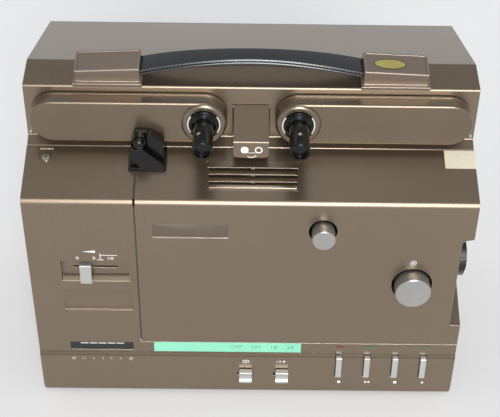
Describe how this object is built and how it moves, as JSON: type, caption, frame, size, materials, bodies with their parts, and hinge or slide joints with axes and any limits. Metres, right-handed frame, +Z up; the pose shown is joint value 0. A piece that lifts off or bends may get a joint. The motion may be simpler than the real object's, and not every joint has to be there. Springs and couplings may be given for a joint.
{
  "type": "sound film projector",
  "caption": "Suitcase-shaped tabletop sound film projector with two folding reel arms, carrying strap, pull-off front cover, focusing lens and a row of keys.",
  "frame": {"origin": "on the surface the feet stand on, under the middle of the overall bounding box", "axes": "+X along the front to the viewer's right, towards the end the lens looks out of; +Y from the front face to the back plate; +Z up"},
  "size_m": [0.29, 0.1756, 0.2456],
  "materials": {
    "case_paint": "satin bronze paint",
    "panel_paint": "satin bronze paint",
    "rear_paint": "matte black paint",
    "zinc_sheet": "plain sheet",
    "foot_rubber": "matte",
    "mount_plastic": "satin bronze",
    "strap_leather": "smooth grained",
    "arm_plastic": "satin bronze",
    "black_plastic": "satin",
    "window_plastic": "dark window",
    "bright_knob": "fine satin",
    "bright_key": "satin",
    "ball_steel": "polished",
    "bush_brass": "turned",
    "screw_steel": "plated",
    "shaft_steel": "ground",
    "fly_iron": "turned",
    "lamp_glass": "clear",
    "lens_glass": "coated",
    "lens_black": "satin black",
    "belt_rubber": "matte",
    "board_green": "lacquered",
    "coil_steel": "laminated",
    "motor_steel": "plated",
    "paper_black": "pressed paper",
    "roller_rubber": "ground"
  },
  "bodies": {
    "case": {"main_housing": "case_paint", "front_frame": "panel_paint", "control_strip": "panel_paint", "rear_cover": "rear_paint", "base_plate": "zinc_sheet", "feet": "foot_rubber", "level_window": "window_plastic", "housing_screws": "screw_steel", "handle_mounts": "mount_plastic", "handle_caps": "mount_plastic", "handle_strap": "strap_leather", "arm_bushes": "bush_brass", "mechanism_plate": "zinc_sheet", "film_guide": "black_plastic", "film_channel": "black_plastic", "lamp_house": "zinc_sheet", "projection_lamp": "lamp_glass", "film_gate": "shaft_steel", "sound_head": "shaft_steel", "lens_holder": "lens_black", "motor": "motor_steel", "transformer": "coil_steel", "circuit_board": "board_green", "speaker": "paper_black", "mains_inlet": "black_plastic", "audio_sockets": "black_plastic", "key_shaft": "shaft_steel", "key_springs": "shaft_steel", "drive_belts": "belt_rubber"},
    "left_arm": {"arm_left": "arm_plastic", "arm_back_left": "arm_plastic", "arm_ring_left": "arm_plastic"},
    "right_arm": {"arm_right": "arm_plastic", "arm_back_right": "arm_plastic", "arm_ring_right": "arm_plastic"},
    "left_spindle": {"spindle_left": "black_plastic"},
    "right_spindle": {"spindle_right": "black_plastic"},
    "left_ball": {"spindle_ball_left": "ball_steel"},
    "right_ball": {"spindle_ball_right": "ball_steel"},
    "centre_key": {"rewind_key": "panel_paint"},
    "roller": {"guide_roller": "black_plastic"},
    "cover": {"front_cover": "panel_paint", "vent_grille": "panel_paint"},
    "framing": {"framing_knob": "bright_knob"},
    "focus": {"focus_knob": "bright_knob"},
    "lens": {"lens_barrel": "lens_black", "lens_glass": "lens_glass"},
    "zoom": {"zoom_ring": "lens_black"},
    "volume": {"volume_slider": "bright_key"},
    "effects": {"effects_switch": "bright_key"},
    "speed": {"speed_switch": "bright_key"},
    "record": {"record_key": "bright_key"},
    "reverse": {"reverse_key": "bright_key"},
    "stop": {"stop_key": "bright_key"},
    "projection": {"projection_key": "bright_key"},
    "feed": {"feed_sprocket": "black_plastic"},
    "takeup": {"takeup_sprocket": "black_plastic"},
    "fly": {"flywheel": "fly_iron"},
    "fan": {"motor_fan": "black_plastic"},
    "pinch": {"pinch_roller": "roller_rubber"}
  },
  "joints": [
    {"name": "left_arm_swing", "type": "hinge", "parent": "case", "child": "left_arm", "pos_m": [-0.126, -0.0313, 0.2051], "axis": [0, -1, 0], "range_deg": [0, 135]},
    {"name": "right_arm_swing", "type": "hinge", "parent": "case", "child": "right_arm", "pos_m": [0.126, -0.0313, 0.2051], "axis": [0, 1, 0], "range_deg": [0, 135]},
    {"name": "left_spindle_spin", "type": "hinge", "parent": "left_arm", "child": "left_spindle", "pos_m": [-0.03, -0.0578, 0.2051], "axis": [0, 1, 0], "continuous": true},
    {"name": "right_spindle_spin", "type": "hinge", "parent": "right_arm", "child": "right_spindle", "pos_m": [0.03, -0.0578, 0.2051], "axis": [0, 1, 0], "continuous": true},
    {"name": "left_ball_press", "type": "slide", "parent": "left_spindle", "child": "left_ball", "axis": [-0.454, 0, 0.891], "range_m": [-0.00018, 0], "stiffness_N_per_m": 600, "springref_m": 0.001},
    {"name": "right_ball_press", "type": "slide", "parent": "right_spindle", "child": "right_ball", "axis": [0, 0, 1], "range_m": [-0.00018, 0], "stiffness_N_per_m": 600, "springref_m": 0.001},
    {"name": "centre_key_press", "type": "hinge", "parent": "case", "child": "centre_key", "pos_m": [0, -0.0258, 0.207], "axis": [1, 0, 0], "range_deg": [0, 4], "stiffness_Nm_per_rad": 0.6, "springref_deg": -2.86},
    {"name": "guide_roller_spin", "type": "hinge", "parent": "case", "child": "roller", "pos_m": [-0.0705, -0.0578, 0.198], "axis": [0, 1, 0], "continuous": true},
    {"name": "front_cover_pull", "type": "slide", "parent": "case", "child": "cover", "axis": [0, -1, 0], "range_m": [0, 0.045]},
    {"name": "framing_knob_turn", "type": "hinge", "parent": "case", "child": "framing", "pos_m": [0.047, -0.0778, 0.1454], "axis": [0, 1, 0], "range_deg": [-60, 60]},
    {"name": "focus_knob_turn", "type": "hinge", "parent": "case", "child": "focus", "pos_m": [0.1081, -0.0778, 0.1015], "axis": [0, 1, 0], "range_deg": [-45, 45]},
    {"name": "lens_focus_slide", "type": "slide", "parent": "case", "child": "lens", "axis": [1, 0, 0], "range_m": [-0.0039, 0.0039]},
    {"name": "zoom_ring_turn", "type": "hinge", "parent": "lens", "child": "zoom", "pos_m": [0.1353, -0.0558, 0.1103], "axis": [1, 0, 0], "range_deg": [-30, 30]},
    {"name": "volume_slide", "type": "slide", "parent": "case", "child": "volume", "axis": [1, 0, 0], "range_m": [-0.0065, 0.0185]},
    {"name": "effects_slide", "type": "slide", "parent": "case", "child": "effects", "axis": [1, 0, 0], "range_m": [-0.0045, 0]},
    {"name": "speed_slide", "type": "slide", "parent": "case", "child": "speed", "axis": [1, 0, 0], "range_m": [-0.0045, 0]},
    {"name": "record_key_press", "type": "hinge", "parent": "case", "child": "record", "pos_m": [0.0637, -0.0726, 0.0326], "axis": [1, 0, 0], "range_deg": [0, 5], "stiffness_Nm_per_rad": 0.25, "springref_deg": -5.16},
    {"name": "reverse_key_press", "type": "hinge", "parent": "case", "child": "reverse", "pos_m": [0.08335, -0.0726, 0.0326], "axis": [1, 0, 0], "range_deg": [0, 5], "stiffness_Nm_per_rad": 0.25, "springref_deg": -5.16},
    {"name": "stop_key_press", "type": "hinge", "parent": "case", "child": "stop", "pos_m": [0.103, -0.0726, 0.0326], "axis": [1, 0, 0], "range_deg": [0, 5], "stiffness_Nm_per_rad": 0.25, "springref_deg": -5.16},
    {"name": "projection_key_press", "type": "hinge", "parent": "case", "child": "projection", "pos_m": [0.12265, -0.0726, 0.0326], "axis": [1, 0, 0], "range_deg": [0, 5], "stiffness_Nm_per_rad": 0.25, "springref_deg": -5.16},
    {"name": "flywheel_spin", "type": "hinge", "parent": "case", "child": "fly", "pos_m": [0.064, -0.0378, 0.062], "axis": [0, 1, 0], "continuous": true},
    {"name": "motor_spin", "type": "hinge", "parent": "case", "child": "fan", "pos_m": [-0.06, -0.0078, 0.112], "axis": [0, 1, 0], "continuous": true},
    {"name": "feed_sprocket_spin", "type": "hinge", "parent": "case", "child": "feed", "pos_m": [0.064, -0.0528, 0.155], "axis": [0, 1, 0], "continuous": true},
    {"name": "takeup_sprocket_spin", "type": "hinge", "parent": "case", "child": "takeup", "pos_m": [-0.04, -0.0528, 0.066], "axis": [0, 1, 0], "continuous": true},
    {"name": "pinch_roller_spin", "type": "hinge", "parent": "case", "child": "pinch", "pos_m": [0.05474, -0.0558, 0.05863], "axis": [0, 1, 0], "continuous": true}
  ],
  "couplings": [
    {"joint": "focus_knob_turn", "follows": "lens_focus_slide", "rad_per_m": 200},
    {"joint": "motor_spin", "follows": "flywheel_spin", "ratio": 3.125},
    {"joint": "feed_sprocket_spin", "follows": "flywheel_spin", "ratio": 1},
    {"joint": "takeup_sprocket_spin", "follows": "flywheel_spin", "ratio": 1},
    {"joint": "pinch_roller_spin", "follows": "flywheel_spin", "ratio": -0.35714}
  ]
}
